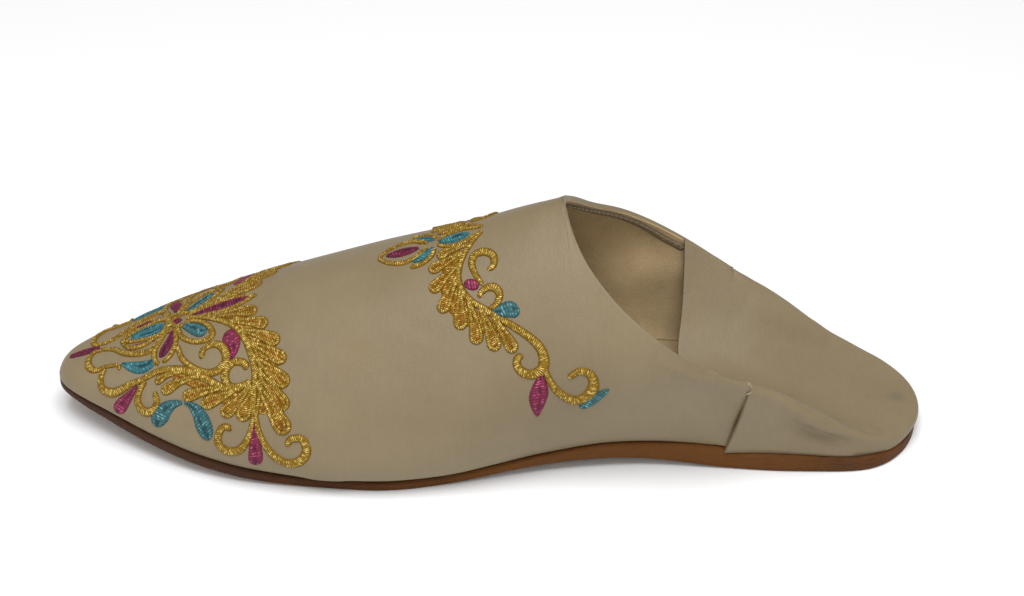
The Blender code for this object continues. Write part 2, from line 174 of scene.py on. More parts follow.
def connect(shader, bump_height=None, bump_depth=0.0, **inputs):
    """Join the fields to the shader's inputs, and a height in metres to its normal."""
    links = shader.id_data.links
    for name, value in inputs.items():
        socket = shader.inputs[name.replace("_", " ")]
        if isinstance(value, Field):
            links.new(value.socket, socket)
        else:
            socket.default_value = value
    if bump_height:
        bump = bump_height.node("ShaderNodeBump", inputs={"Height": bump_height, "Distance": bump_depth})
        links.new(bump.socket, shader.inputs["Normal"])


def merged_copy(node, name):
    """A smooth piece with the form of a CAD node, its seams closed and its triangles paired."""
    bpy.ops.object.select_all(action="DESELECT")
    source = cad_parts[node]
    piece = source.copy()
    piece.data = source.data.copy()
    piece.name = piece.data.name = name
    bpy.context.collection.objects.link(piece)
    piece.parent = None
    piece.matrix_world = source.matrix_world
    piece.select_set(True)
    bpy.context.view_layer.objects.active = piece
    bpy.ops.mesh.customdata_custom_splitnormals_clear()
    bpy.ops.object.transform_apply(location=True, rotation=True, scale=True)
    bpy.ops.object.mode_set(mode="EDIT")
    bpy.ops.mesh.select_all(action="SELECT")
    bpy.ops.mesh.remove_doubles(threshold=0.00001)
    bpy.ops.mesh.tris_convert_to_quads(face_threshold=radians(40), shape_threshold=radians(70))
    bpy.ops.mesh.normals_make_consistent(inside=False)
    bpy.ops.object.mode_set(mode="OBJECT")
    bpy.ops.object.shade_smooth()
    piece.data.materials.clear()
    return piece


def select_sharp(piece, angle, wanted=None):
    """Select the edges whose faces meet at more than an angle, or only those of them that are wanted."""
    bpy.ops.object.mode_set(mode="EDIT")
    bpy.ops.mesh.select_mode(type="EDGE")
    bpy.ops.mesh.select_all(action="DESELECT")
    bpy.ops.mesh.edges_select_sharp(sharpness=angle)
    bpy.ops.object.mode_set(mode="OBJECT")
    spots = piece.data.vertices
    for edge in piece.data.edges:
        if edge.select and wanted:
            edge.select = wanted(spots[edge.vertices[0]].co, spots[edge.vertices[1]].co)


def round_edges(piece, width, steps, wanted):
    """Turn the wanted ones of the edges sharper than 60 degrees into round ones."""
    select_sharp(piece, radians(60), wanted)
    bpy.ops.object.mode_set(mode="EDIT")
    bpy.ops.mesh.bevel(offset=width, segments=steps)
    bpy.ops.object.mode_set(mode="OBJECT")


def refine(piece, kept_angle):
    """Divide a piece's faces twice and smooth them, and keep the edges that are sharper than an angle."""
    select_sharp(piece, kept_angle)
    kept = piece.data.attributes.new("crease_edge", "FLOAT", "EDGE")
    for edge in piece.data.edges:
        kept.data[edge.index].value = 1.0 if edge.select else 0.0
    smooth = piece.modifiers.new("refined", "SUBSURF")
    smooth.levels = smooth.render_levels = 2
    bpy.ops.object.modifier_apply(modifier=smooth.name)


sole_leather, shader, spot = new_material("cut sole leather")
toe_share = spot.part("Y").step(*TOE_DARKENING)
heel_share = spot.part("Y").step(*HEEL_DARKENING)
layers = spot.stretched(1.0, 1.0, 9.0).noise(220.0, 4.0, 0.6)
patches = spot.noise(45.0, 3.0)
edge_tone = layers * 0.55 + patches * 0.6 - toe_share * 0.55 - heel_share * 0.24
edge_colour = edge_tone.step(0.05, 0.7).blend(EDGE_BROWN, EDGE_ORANGE)
outward = spot.node("ShaderNodeNewGeometry", output="Normal", inputs={})
facing_down = outward.part("Z").step(-0.6, -0.9)
connect(
    shader,
    bump_height=layers * 0.6 + spot.noise(900.0, 3.0),
    bump_depth=0.0004,
    Base_Color=facing_down.blend(edge_colour, UNDERSIDE_TAN),
    Roughness=0.5 + patches * 0.3,
    Specular_IOR_Level=0.18,
)
outsole = merged_copy("outsole", "outsole_dressed")
refine(outsole, SOLE_CORNER)
outsole.data.materials.append(sole_leather)
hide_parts("outsole")
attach(outsole, "root")

# The insole is a thin sock of matt tan leather laid on the sole, out to the lining at its sides and toe.
# Only a strip of it shows, between the flap of the heel quarter and the throat.
LINING_TAN = (0.315, 0.23, 0.12)
LINING_PALE = (0.57, 0.42, 0.23)
SOCK_SPREAD = 1.9 * MM
SOCK_REACH = Vector((0.0, -2.4, 0.45)) * MM
SOCK_TOE = (70.0, 120.0)
# The lining is painted darker towards the bottom, as painted shade deep inside the slipper: none at the
# first of these heights in metres, full at the second.
LOW_SHADE_HEIGHTS = (0.05, 0.012)
lining_leather, shader, spot = new_material("matt lining leather")
cloud = spot.noise(60.0, 4.0, 0.6)
nap = spot.noise(1600.0, 3.0, 0.7)
# Painted shade: the lining darkens towards the bottom, deep inside the slipper where little light reaches.
painted_low_shade = spot.part("Z").step(*LOW_SHADE_HEIGHTS)
lining_tone = cloud * 0.8 + nap * 0.3 - painted_low_shade * 0.45
connect(
    shader,
    bump_height=nap,
    bump_depth=0.0002,
    Base_Color=lining_tone.step(0.0, 0.8).blend(LINING_TAN, LINING_PALE),
    Roughness=0.7 + nap * 0.2,
)


def share_between(value, low, high):
    """0 where a value is at low, 1 at high, and even between."""
    return min(max((value - low) / (high - low), 0.0), 1.0)


insole = merged_copy("insole", "insole_dressed")
for vertex in insole.data.vertices:
    vertex.co.x += SOCK_SPREAD if vertex.co.x > 0 else -SOCK_SPREAD
    vertex.co += SOCK_REACH * share_between(-vertex.co.y / MM, *SOCK_TOE)
refine(insole, SOLE_CORNER)
insole.data.materials.append(lining_leather)
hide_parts("insole")
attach(insole, "root")

# The vamp is one hide with its lining, pulled over the last and turned under at the sole. Its throat edge
# is turned in, so it is round. The wings beside the throat have sunk a little below that edge.
LEATHER_SHADE = (0.198, 0.151, 0.084)
LEATHER_LIGHT = (0.24, 0.187, 0.107)
STAIN_OCHRE = (0.24, 0.155, 0.07)
SMUDGE_GREY = (0.15, 0.122, 0.08)
# Each mark of wear has its colour, its place and radius in metres, and its strength.
WEAR_MARKS = [
    (STAIN_OCHRE, (0.0277, -0.0408, 0.0424), 0.012, 0.3),
    (STAIN_OCHRE, (-0.0164, 0.0628, 0.0227), 0.006, 0.25),
    (SMUDGE_GREY, (0.0006, 0.1273, 0.0084), 0.0045, 0.7),
    (SMUDGE_GREY, (0.0012, 0.1184, 0.0087), 0.003, 0.3),
]
THROAT_ROUND = 0.45 * MM
UPPER_CORNER = radians(50)
THROAT_HEIGHT = 30.0 * MM
WING_END = 68.0 * MM
UNDER_THE_FOOT = 12.0 * MM

upper_leather, shader, spot = new_material("smooth beige leather")
cloud = spot.noise(28.0, 4.0, 0.55)
brushed = spot.stretched(1.0, 2.6, 0.5).noise(320.0, 3.0, 0.6)
pores = spot.noise(1500.0, 2.0, 0.6)
body_colour = (cloud * 0.85 + brushed * 0.25).step(0.3, 0.85).blend(LEATHER_SHADE, LEATHER_LIGHT)


def soft_mark(spot, centre, radius):
    """1 in the middle of a soft round mark on the leather and 0 outside it, with a torn edge."""
    ends = {0: spot, 1: centre}
    away = spot.node("ShaderNodeVectorMath", output="Value", inputs=ends, operation="DISTANCE")
    return 1.0 - (away / radius + spot.noise(180.0, 3.0) * 0.8).step(0.35, 1.35)


for tint, place, radius, strength in WEAR_MARKS:
    body_colour = (soft_mark(spot, place, radius) * strength).blend(body_colour, tint)
connect(
    shader,
    bump_height=pores * 0.35 + brushed * 0.3 + cloud * 1.5,
    bump_depth=0.0003,
    Base_Color=body_colour,
    Roughness=0.42 + pores * 0.1 + cloud * 0.12,
    Coat_Weight=0.06,
    Coat_Roughness=0.4,
    Specular_IOR_Level=0.4,
)


def line_inside(piece, inside_height):
    """Give the lining's leather to the faces that look towards the foot."""
    for face in piece.data.polygons:
        inside = Vector((0.0, face.center.y, inside_height))
        if face.normal.dot(face.center - inside) < 0:
            face.material_index = 1


def both_sides(path):
    """A path in millimetres on the near side as an array in metres, and the same on the far side."""
    near = np.array(path) * MM
    return near, near * (-1, 1, 1)


def read_points(piece, kind):
    """The places ("co") or normals ("normal") of all points of a piece as an array."""
    values = np.empty(len(piece.data.vertices) * 3)
    piece.data.vertices.foreach_get(kind, values)
    return values.reshape(-1, 3)


def move_points(piece, places):
    """Put all points of a piece at the places of an array."""
    piece.data.vertices.foreach_set("co", places.ravel())
    piece.data.update()


def crease(piece, outward_from, path, width, depth):
    """Press a soft trough into the leather, or raise a ridge, along a path. It fades out at both ends. Both
    sides of the leather move together, outwards being where outward_from says for an array of places."""
    spots, normals = read_points(piece, "co"), read_points(piece, "normal")
    outward = normals * np.where((normals * outward_from(spots)).sum(1) < 0, -1.0, 1.0)[:, None]
    nearest, share = np.full(len(spots), 1.0), np.zeros(len(spots))
    for i, (start, end) in enumerate(zip(path, path[1:])):
        run = end - start
        t = np.clip((spots - start) @ run / (run @ run), 0.0, 1.0)
        away = np.linalg.norm(spots - start - t[:, None] * run, axis=1)
        closer = away < nearest
        share[closer] = (i + t[closer]) / (len(path) - 1)
        nearest[closer] = away[closer]
    strength = depth * np.sin(pi * np.clip(share, 0.03, 0.97)) * np.exp(-((nearest / width) ** 2))
    move_points(piece, spots - outward * strength[:, None])


def from_the_foot(spots):
    """Outwards for the vamp: away from the middle of the foot, level with the sole."""
    return (spots - (0.0, 0.0, UNDER_THE_FOOT)) * (1.0, 0.0, 1.0)


def even_out(piece, repeat, wanted):
    """Let the wanted points settle between their neighbours."""
    bpy.ops.object.select_all(action="DESELECT")
    piece.select_set(True)
    bpy.context.view_layer.objects.active = piece
    bpy.ops.object.mode_set(mode="EDIT")
    bpy.ops.mesh.select_mode(type="VERT")
    bpy.ops.mesh.select_all(action="DESELECT")
    bpy.ops.object.mode_set(mode="OBJECT")
    for vertex in piece.data.vertices:
        vertex.select = wanted(vertex.co / MM)
    bpy.ops.object.mode_set(mode="EDIT")
    bpy.ops.mesh.vertices_smooth(factor=0.5, repeat=repeat)
    bpy.ops.object.mode_set(mode="OBJECT")


def on_throat(start, end):
    """Whether an edge runs along the throat and not down the side seam."""
    run = end - start
    return start.z > THROAT_HEIGHT and (start.y < WING_END or abs(run.y) > abs(run.z) * 0.4)


def at_apex(spot):
    """Whether a place in millimetres is at the top of the throat, where the rows of points crowd."""
    return abs(spot.x) < 9.5 and spot.y > 15.0 and spot.z > 70.0


vamp = merged_copy("upper_vamp", "vamp_dressed")
round_edges(vamp, THROAT_ROUND, 4, on_throat)
refine(vamp, UPPER_CORNER)
even_out(vamp, 8, at_apex)
vamp.data.materials.append(upper_leather)
vamp.data.materials.append(lining_leather)
line_inside(vamp, UNDER_THE_FOOT)
# Each crease has its path, its width and its depth in millimetres. A negative depth is a ridge.
VAMP_CREASES = [
    ([(36.0, 20.8, 22.2), (34.9, 37.3, 25.4), (35.3, 50.0, 29.9), (34.9, 61.7, 31.6),
      (32.6, 75.5, 30.9)], 5.4, 0.95),
    ([(22.6, -27.4, 50.5), (26.0, -20.8, 48.7), (27.9, -14.3, 47.7)], 2.0, 0.16),
    ([(25.4, -47.4, 42.5), (27.7, -40.8, 42.4), (29.0, -34.8, 42.7)], 2.2, 0.2),
    ([(30.6, 33.2, 12.6), (29.5, 48.2, 13.6), (28.0, 63.5, 11.1)], 4.0, -0.5),
    ([(37.2, 44.0, 48.6), (36.9, 54.0, 43.2), (36.4, 62.4, 39.2), (34.8, 69.8, 35.4),
      (33.4, 76.0, 32.4)], 1.6, -0.85),
]
for path, width, depth in VAMP_CREASES:
    for side in both_sides(path):
        crease(vamp, from_the_foot, side, width * MM, depth * MM)
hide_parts("upper_vamp")
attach(vamp, "root")

# The heel quarter is a second hide, sewn to the wings at the side seams. It has been trodden down, so it
# rises from the sole as a low wall, rolls over and lies inside as a flap with its grain upwards. The
# leather of the fold is wrinkled, and the flap's sides are pressed out against the wings.
FLAP_ROUND = 0.35 * MM
FLAP_LIFT = 0.7 * MM
FLAP_SPREAD = 1.9 * MM
FLAP_SIDES = (22.0, 33.0)
FLAP_FRONT = (78.5, 74.0)
# Each lift of the far corner has its height, and where along the slipper it starts and is full.
FAR_LIFTS = [(0.9 * MM, 95.0, 88.0), (2.0 * MM, 77.5, 74.5)]
FAR_SIDES = (20.0, 31.0)
FAR_HEIGHT = 20.0
FLAP_BULGE = 1.8 * MM
BULGE_MIDDLE = 9.0
BULGE_HALF_WIDTH = 9.0
BULGE_FRONT = (70.0, 63.0)
SEAM_FOOT = (71.5, 8.0)
SEAM_SLANT = 0.204
SEAM_SWELL = 0.45 * MM
SWELL_LENGTH = 11.0
FLAP_HEIGHT = 24.0
SWELL_ON_FLAP = (28.0, 30.5)
SWELL_ON_WALL = (20.0, 27.0)
SEAM_RISE = 0.5 * MM
RISE_HEIGHTS = (24.0, 31.0)
SEAM_CLOSING = 0.8 * MM


def press_out_flap(vertex, across, along, height, side):
    """Spread and lift the flap's corners on the wings, the far one more, and bow its front edge."""
    at_wing = share_between(across, *FLAP_SIDES) * share_between(along, *FLAP_FRONT)
    vertex.co.z += FLAP_LIFT * at_wing
    vertex.co.x += FLAP_SPREAD * at_wing * side
    if side == -1 and height > FAR_HEIGHT:
        lift = sum(full * share_between(along, start, end) for full, start, end in FAR_LIFTS)
        vertex.co.z += lift * share_between(across, *FAR_SIDES)
    bow = exp(-(((across - BULGE_MIDDLE) / BULGE_HALF_WIDTH) ** 2))
    vertex.co.y -= FLAP_BULGE * bow * share_between(along, *BULGE_FRONT)


def swell_at_seam(vertex, across, height, behind_seam, side):
    """Let the leather stand out a little where it is gathered into the side seam."""
    swelling = share_between(behind_seam, SWELL_LENGTH, 0.0) ** 1.5
    swelling *= share_between(across, *(SWELL_ON_FLAP if height > FLAP_HEIGHT else SWELL_ON_WALL))
    vertex.co.x += SEAM_SWELL * swelling * side
    if side == 1:
        vertex.co.z += SEAM_RISE * swelling * share_between(height, *RISE_HEIGHTS)


def on_flap_front(start, end):
    """Whether an edge is at the front of the flap, between the wings."""
    return start.y < 71 * MM and abs(start.x) < 36 * MM


def on_seam_wall(across, height, behind_seam):
    """Whether a point is on the standing wall, at the edge that is drawn up to the vamp."""
    return behind_seam < 1.4 and (across > 27.5 + 0.12 * (height - 15.0) or height < 10.0)


quarter = merged_copy("upper_heel_quarter", "heel_quarter_dressed")
seam_mark = quarter.data.attributes.new("at_seam", "FLOAT", "POINT")
for vertex in quarter.data.vertices:
    across, along, height = abs(vertex.co.x) / MM, vertex.co.y / MM, vertex.co.z / MM
    side = 1 if vertex.co.x > 0 else -1
    press_out_flap(vertex, across, along, height, side)
    behind_seam = along - (SEAM_FOOT[0] + SEAM_SLANT * (height - SEAM_FOOT[1]))
    if across > 20.0 and height < 36.0 and behind_seam > -0.6:
        swell_at_seam(vertex, across, height, behind_seam, side)
        seam_mark.data[vertex.index].value = float(on_seam_wall(across, height, behind_seam))
round_edges(quarter, FLAP_ROUND, 2, on_flap_front)
refine(quarter, UPPER_CORNER)
quarter.data.materials.append(upper_leather)
places = read_points(quarter, "co")
at_seam = np.empty(len(places))
quarter.data.attributes["at_seam"].data.foreach_get("value", at_seam)
places[:, 1] -= SEAM_CLOSING * at_seam
move_points(quarter, places)


def up_and_out(spots):
    """Outwards for the fold: up, a little back and to its own side."""
    across = np.sign(spots[:, 0])
    level = np.ones(len(spots))
    return np.stack([across * 0.5, level * 0.25, level * 0.8], 1)


# Each crease has its path, its width and its depth in millimetres. A negative depth is a ridge.
FOLD_CREASES = [
    ([(25.5, 80.0, 27.5), (25.0, 88.0, 22.5), (24.0, 95.0, 18.5), (23.0, 102.0, 15.0),
      (21.5, 109.0, 12.6)], 5.5, -1.7),
    ([(29.9, 85.1, 22.4), (28.9, 93.2, 16.1), (28.3, 102.8, 12.0), (26.8, 112.5, 8.0)], 2.6, 2.3),
    ([(31.4, 77.5, 33.0), (29.3, 86.1, 27.9), (28.7, 93.6, 22.4), (28.0, 101.0, 16.8),
      (26.6, 108.8, 12.6)], 1.8, -1.5),
    ([(21.2, 112.2, 11.4), (22.2, 114.6, 11.0), (22.0, 117.8, 10.1), (20.5, 122.4, 9.1)], 1.5, 0.35),
    ([(16.4, 116.8, 9.3), (17.6, 119.7, 9.1), (18.8, 122.7, 8.9)], 1.3, 0.3),
    ([(29.4, 95.5, 19.5), (27.6, 97.0, 21.0), (25.6, 98.0, 20.0)], 1.1, 0.3),
    ([(28.6, 101.5, 16.0), (26.8, 102.6, 17.0), (24.6, 103.4, 16.0)], 1.0, 0.3),
    ([(27.2, 107.0, 12.6), (25.2, 107.8, 13.0), (23.2, 108.2, 12.4)], 0.9, 0.25),
]
for path, width, depth in FOLD_CREASES:
    for side in both_sides(path):
        crease(quarter, up_and_out, side, width * MM, depth * MM)
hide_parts("upper_heel_quarter")
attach(quarter, "root")

# The topline binding is a narrow strip of the same leather, sewn along the inside of the throat just under
# its rolled edge. It runs from one corner of the flap over the apex to the other, with a row of stitches.
SAMPLE = 0.45 * MM
STRIP_PATH = [
    (34.6, 61.4, 39.6), (34.0, 54.6, 43.2), (32.4, 49.3, 47.0), (30.4, 43.7, 51.0), (26.8, 36.6, 56.2),
    (20.2, 28.7, 62.8), (12.2, 21.8, 68.8), (5.2, 18.6, 73.1), (0.0, 17.8, 74.6),
]
STRIP_HALF_WIDTH = 1.25
STRIP_HEIGHT = 0.7 * MM
# The colour of the painted shade along both edges of the strip.
GROOVE_SHADE = (0.11, 0.08, 0.042)
SUNK = 0.07 * MM
BROAD = 1.4 * MM

skin = BVHTree.FromObject(vamp, bpy.context.evaluated_depsgraph_get())


def smooth_line(points, spacing):
    """Points at an even spacing along a smooth curve through the given ones."""
    ends = [points[0] * 2 - points[1]] + list(points) + [points[-1] * 2 - points[-2]]
    fine = []
    for a, b, c, d in zip(ends, ends[1:], ends[2:], ends[3:]):
        ab, bc, cd = (max(sqrt((q - p).length), 1e-4) for p, q in ((a, b), (b, c), (c, d)))
        leave = ((b - a) / ab - (c - a) / (ab + bc) + (c - b) / bc) * bc
        arrive = ((c - b) / bc - (d - b) / (bc + cd) + (d - c) / cd) * bc
        for n in range(12):
            t = n / 12
            fine.append(
                b * (2 * t**3 - 3 * t**2 + 1)
                + leave * (t**3 - 2 * t**2 + t)
                + c * (3 * t**2 - 2 * t**3)
                + arrive * (t**3 - t**2)
            )
    fine.append(ends[-2])
    even, left = [fine[0]], spacing
    for a, b in zip(fine, fine[1:]):
        length = (b - a).length
        while left <= length:
            even.append(a.lerp(b, left / length))
            left += spacing
        left -= length
    return even


class Threads:
    """Raised bands on the leather, gathered as one mesh. Their map holds millimetres along, and breadth."""

    # The directions round a stitch, in radians from its top.
    ARC = (-1.6, -0.8, 0.0, 0.8, 1.6)

    def __init__(self):
        self.verts, self.faces, self.marks = [], [], []

    def grid(self, rows, marks, mirrored):
        """Add a surface over rows of points, and its mirror image on the far side if that is wanted."""
        for side in (1, -1) if mirrored else (1,):
            first, wide = len(self.verts), len(rows[0])
            for row, mark in zip(rows, marks):
                self.verts.extend((p.x * side, p.y, p.z) for p in row)
                self.marks.extend(mark)
            for i in range(len(rows) - 1):
                for a in range(first + i * wide, first + (i + 1) * wide - 1):
                    corners = (a, a + 1, a + wide + 1, a + wide)
                    self.faces.append(corners if side == 1 else corners[::-1])

    def band(self, points, height, steps=6, split=0.0, slant=0.25, mirrored=True, relief=0.14):
        """A band with round ends along points that each hold a place and the band's half-width there. Every
        second row of it is lower by the relief, as one stitch is beside the next. A split is a slit along
        its middle, and the slant leans its stitches."""
        line = smooth_line(points, SAMPLE)
        last = len(line) - 1
        rows, marks = [], []
        for i, point in enumerate(line):
            place, normal, _, _ = skin.find_nearest(point.to_3d())
            along = (line[min(i + 1, last)] - line[max(i - 1, 0)]).to_3d()
            across = along.cross(normal).normalized()
            to_end = min(i, last - i) * SAMPLE
            full = max(point.w, 0.0001)
            stitch = 1.0 - relief * (i % 2)
            round_end = sqrt(max(1 - (1 - min(to_end / full, 1.0)) ** 2, 0.01))
            half = full * round_end * (1 + relief * 0.2 * sin(i * 2.4))
            rise = height * stitch * min(half / full + 0.25, 1.0)
            row, mark = [], []
            for k in range(steps + 1):
                breadth = -cos(pi * k / steps)
                lean = breadth * half * slant
                base, out = place + across * half * breadth + along.normalized() * lean, normal
                if half > BROAD:
                    base, out, _, _ = skin.find_nearest(base)
                dome = sqrt(max(1 - breadth**2, 0.0)) * (1 - split * exp(-((breadth / 0.2) ** 2)))
                row.append(base + out * (dome * rise - SUNK))
                mark.append((i * SAMPLE / MM, (breadth + 1) / 2))
            rows.append(row)
            marks.append(mark)
        self.grid(rows, marks, mirrored)

    def stitch(self, first, last, thickness, count, taper, above, aside, mirrored=True):
        """One stitch from first to last, thickest in its middle. Its round side faces above and aside."""
        rows = []
        for t in range(count):
            share = t / (count - 1)
            thick = thickness * sin(pi * (taper + (1 - 2 * taper) * share))
            middle = first.lerp(last, share)
            rows.append([middle + (aside * sin(a) + above * cos(a)) * thick for a in self.ARC])
        self.grid(rows, [[(0.0, 0.0)] * len(self.ARC)] * count, mirrored)
        return rows

    def piece(self, name, material):
        """Make one object of all that was gathered, and let it ride on the slipper."""
        mesh = bpy.data.meshes.new(name)
        mesh.from_pydata(self.verts, [], self.faces)
        mapping = mesh.uv_layers.new(name="stitches")
        corners = np.empty(len(mesh.loops), dtype=int)
        mesh.loops.foreach_get("vertex_index", corners)
        mapping.data.foreach_set("uv", np.array(self.marks)[corners].ravel())
        mesh.materials.append(material)
        mesh.shade_smooth()
        piece = bpy.data.objects.new(name, mesh)
        bpy.context.collection.objects.link(piece)
        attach(piece, "root")
        return piece


near_strip = [Vector((*p, STRIP_HALF_WIDTH)) * MM for p in STRIP_PATH]
far_strip = [Vector((-p.x, p.y, p.z, p.w)) for p in reversed(near_strip[:-1])]
strip = Threads()
strip.band(near_strip + far_strip, STRIP_HEIGHT, steps=8, mirrored=False, relief=0.0, slant=0.0)
strip_leather, shader, spot = new_material("strip of beige leather")
mapped = Field(strip_leather.node_tree.nodes.new("ShaderNodeUVMap").outputs[0])
from_middle = mapped.part("Y") - 0.5
# Painted shade along both edges of the strip, in the groove under the rolled edge and where the strip meets
# the lining.
painted_groove_shade = from_middle.maths("ABSOLUTE", from_middle).step(0.27, 0.42)
grain = spot.noise(500.0, 4.0, 0.6)
connect(
    shader,
    bump_height=grain,
    bump_depth=0.0003,
    Base_Color=painted_groove_shade.blend(grain.step(0.3, 0.7).blend(LEATHER_SHADE, LEATHER_LIGHT), GROOVE_SHADE),
    Roughness=0.5 + grain * 0.2,
)
binding = strip.piece("binding_dressed", strip_leather)
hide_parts("topline_binding")

# The strip is sewn down with waxed pale thread, in a row of short stitches along its upper edge. Each side
# seam is closed with a few more at its top, where the strain is, and they show as pale knots.
THREAD_DULL = (0.26, 0.21, 0.135)
THREAD_PALE = (0.4, 0.34, 0.235)
STITCH_SPACING = 2.2 * MM
STITCH_LENGTH = 1.35 * MM
STITCH_THICKNESS = 0.32 * MM
ABOVE_STRIP_MIDDLE = 0.85 * MM
OVER_LINING = 0.68 * MM
# Each knot has the two pixels of the photograph between which it lies.
KNOTS = [
    ((745.5, 381.8), (752.5, 385.2)),
    ((746.5, 383.8), (752.0, 387.0)),
    ((746.0, 394.6), (751.4, 392.8)),
]
KNOT_THICKNESS = 0.26 * MM
KNOT_RISE = 0.2 * MM

sewing_thread, shader, spot = new_material("waxed sewing thread")
strand = spot.noise(2500.0, 2.0)
connect(
    shader,
    bump_height=strand,
    bump_depth=0.0001,
    Base_Color=strand.blend(THREAD_DULL, THREAD_PALE),
    Roughness=0.5 + strand * 0.2,
)
sewing = Threads()
stitch_line = smooth_line(near_strip, STITCH_SPACING)
for start, end in zip(stitch_line, stitch_line[1:]):
    place, normal, _, _ = skin.find_nearest(start.to_3d())
    run = (end - start).to_3d().normalized()
    upward = run.cross(normal)
    if upward.z < 0:
        upward.negate()
    offset = upward * ABOVE_STRIP_MIDDLE + normal * OVER_LINING
    first, last = place + offset, place + offset + run * STITCH_LENGTH
    aside = offset.normalized()
    sewing.stitch(first, last, STITCH_THICKNESS, count=5, taper=0.12, above=normal, aside=aside)

fold_skin = BVHTree.FromObject(quarter, bpy.context.evaluated_depsgraph_get())
to_far_side = Vector((-1.0, 1.0, 1.0))
for ends in KNOTS:
    hits = [tree.ray_cast(camera_place, sight_line(pixel)) for tree in (skin, fold_skin) for pixel in ends]
    distance = min(hit[3] for hit in hits if hit[0]) - KNOT_RISE
    first, last = (camera_place + sight_line(pixel) * distance for pixel in ends)
    facing = {"above": -looking, "aside": -camera_up}
    rows = sewing.stitch(first, last, KNOT_THICKNESS, count=6, taper=0.1, mirrored=False, **facing)
    seat = first.lerp(last, 0.5) * to_far_side
    settle = fold_skin.find_nearest(seat)[0] - seat
    far_rows = [[point * to_far_side + settle for point in reversed(row)] for row in rows]
    sewing.grid(far_rows, [[(0.0, 0.0)] * len(far_rows[0])] * len(far_rows), False)
sewing.piece("sewing", sewing_thread)

# The embroidery is worked on the vamp in gilt thread: scrolls and long plumes of leaf lobes, the same on
# both sides of the centre line. Fine satin stitches lie across each line over a raised core.
# Each thread has three colours: painted shade, its own colour, and a painted highlight.
GILT_SHADED = (0.16, 0.068, 0.003)
GILT = (0.245, 0.138, 0.008)
GILT_HIGHLIGHT = (0.85, 0.66, 0.2)
LOBE_SHADED = (0.14, 0.052, 0.003)
LOBE = (0.27, 0.12, 0.005)
PIXELS_PER_MM = 3.0
THREAD_HALF_WIDTH = 2.2
THREAD_HEIGHT = 0.75 * MM
GROUND_HEIGHT = 0.3 * MM
LOBE_HEIGHT = 0.55 * MM
SCROLL_FULLNESS = 1.35
LEAF_FULLNESS = 1.15


def on_vamp(x, y, half_width, central=False):
    """Where the sight line through a pixel meets the vamp, with a half-width given in pixels."""
    hit, _, _, _ = skin.ray_cast(camera_place, sight_line((x, y)))
    if hit is None:
        hit, _, _, _ = skin.find_nearest(camera_place + sight_line((x, y)) * CAMERA_DISTANCE)
    return Vector((0.0 if central else hit.x, hit.y, hit.z, half_width / PIXELS_PER_MM * MM))


def stitches(name, shaded, middle, highlight, metal, roughness, pitch, slit):
    """Thread laid side by side, no two stitches alike, with painted shade between the stitches and at the
    edges, painted highlights on their backs and painted glints. The pitch is one stitch's width in
    millimetres, and slit sets the painted shade of a broken line along the middle."""
    material, shader, spot = new_material(name)
    mapped = Field(material.node_tree.nodes.new("ShaderNodeUVMap").outputs[0])
    turn = mapped.part("X") * (pi / pitch)
    ridge = turn.maths("ABSOLUTE", turn.maths("COSINE", turn))
    breadth = mapped.part("Y") - 0.5
    from_middle = breadth.maths("ABSOLUTE", breadth) * 2.0
    strands = mapped.stretched(1.0 / pitch, 0.8, 1.0).noise(1.6, 2.0, 0.6)
    painted_glint = spot.noise(1100.0, 2.0, 0.6)
    # Painted light and shade: the stitch ridges lighten the backs and darken the gaps, the edges are
    # darkened, and the glint noise adds painted glints. The strands are the thread's own variation.
    tone = ridge * 0.2 + strands * 0.65 + painted_glint * 0.6 - from_middle.step(0.45, 1.0) * 0.2 - 0.06
    tone = tone - (1.0 - from_middle.step(0.0, 0.45)) * spot.noise(420.0, 1.0).step(0.4, 0.58) * slit
    body = tone.step(0.3, 0.66).blend(shaded, middle)
    connect(
        shader,
        bump_height=ridge * 0.4 + strands * 0.6,
        bump_depth=0.0003,
        Base_Color=tone.step(0.7, 0.9).blend(body, highlight),
        Roughness=roughness + strands * 0.15,
        Metallic=metal,
        Specular_IOR_Level=0.3,
    )
    return material


def work(threads, points, widths, height):
    """A stitched line through pixels of the photograph, with half-widths at its start, middle and end."""
    start, middle, end = widths
    path = []
    for i, (x, y) in enumerate(points):
        t = i / (len(points) - 1)
        half = start + (middle - start) * t * 2 if t < 0.5 else middle + (end - middle) * (t * 2 - 1)
        path.append(on_vamp(x, y, half * SCROLL_FULLNESS))
    threads.band(path, height)


def leaf(threads, filling, points, half_width):
    """A leaf lobe: a loop of gilt line that is narrow at the stem and round at its tip, and its filling."""
    base, middle, tip = (Vector(p) for p in points)
    ahead = (tip - middle).normalized()
    half_width = half_width * LEAF_FULLNESS
    aside = ahead.orthogonal() * (half_width - THREAD_HALF_WIDTH)
    centre = tip - ahead * half_width
    beyond = ahead * (half_width - THREAD_HALF_WIDTH)
    loop = [
        base,
        middle + aside * 0.55,
        centre + aside,
        centre + (aside + beyond) * 0.7,
        centre + beyond,
        centre + (beyond - aside) * 0.7,
        centre - aside,
        middle - aside * 0.55,
        base,
    ]
    threads.band([on_vamp(*p, THREAD_HALF_WIDTH) for p in loop], THREAD_HEIGHT)
    core = [
        on_vamp(*base, 1.5),
        on_vamp(*middle, half_width * 0.45),
        on_vamp(*centre, half_width * 0.7),
        on_vamp(*(centre + beyond * 0.8), half_width * 0.6),
    ]
    filling.band(core, LOBE_HEIGHT, steps=8, split=0.3)


gilt = {"roughness": 0.45, "pitch": 0.6}
gilt_thread = stitches("gilt thread", GILT_SHADED, GILT, GILT_HIGHLIGHT, metal=0.5, slit=0.0, **gilt)
lobes = "gilt thread of the lobes"
orange_thread = stitches(lobes, LOBE_SHADED, LOBE, GILT_HIGHLIGHT, metal=0.45, slit=0.25, **gilt)
